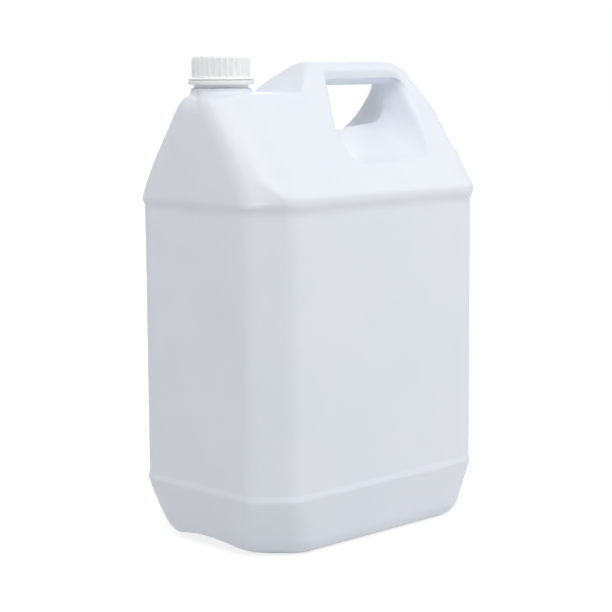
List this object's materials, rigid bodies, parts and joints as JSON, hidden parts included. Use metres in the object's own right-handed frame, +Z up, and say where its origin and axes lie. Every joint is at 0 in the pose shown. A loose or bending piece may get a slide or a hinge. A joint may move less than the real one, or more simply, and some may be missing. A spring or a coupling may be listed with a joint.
{
  "type": "square plastic jug",
  "caption": "Square-sided blow-moulded jug with a gabled shoulder, a pinched-through carrying handle and a ribbed screw cap over a tamper-evident band, for household liquids.",
  "frame": {"origin": "on the ground under the middle of the body's length and width", "axes": "+X along the wide faces from the cap to the back of the handle, +Y across to the second wide face, +Z up"},
  "size_m": [0.19, 0.131, 0.29],
  "materials": {
    "jug_plastic": "satin",
    "cap_plastic": "satin",
    "liner_foam": "matte"
  },
  "bodies": {
    "jug": {"jug_body": "jug_plastic", "tamper_band": "cap_plastic"},
    "liner": {"cap_liner": "liner_foam"},
    "cap": {"screw_cap": "cap_plastic"}
  },
  "joints": [
    {"name": "cap_lift", "type": "slide", "parent": "jug", "child": "liner", "axis": [0, 0, 1], "range_m": [0, 0.009]},
    {"name": "cap_turn", "type": "hinge", "parent": "liner", "child": "cap", "pos_m": [-0.0716, 0, 0.28], "axis": [0, 0, 1], "range_deg": [0, 720]}
  ],
  "couplings": [
    {"joint": "cap_lift", "follows": "cap_turn", "m_per_rad": 0.000716}
  ]
}
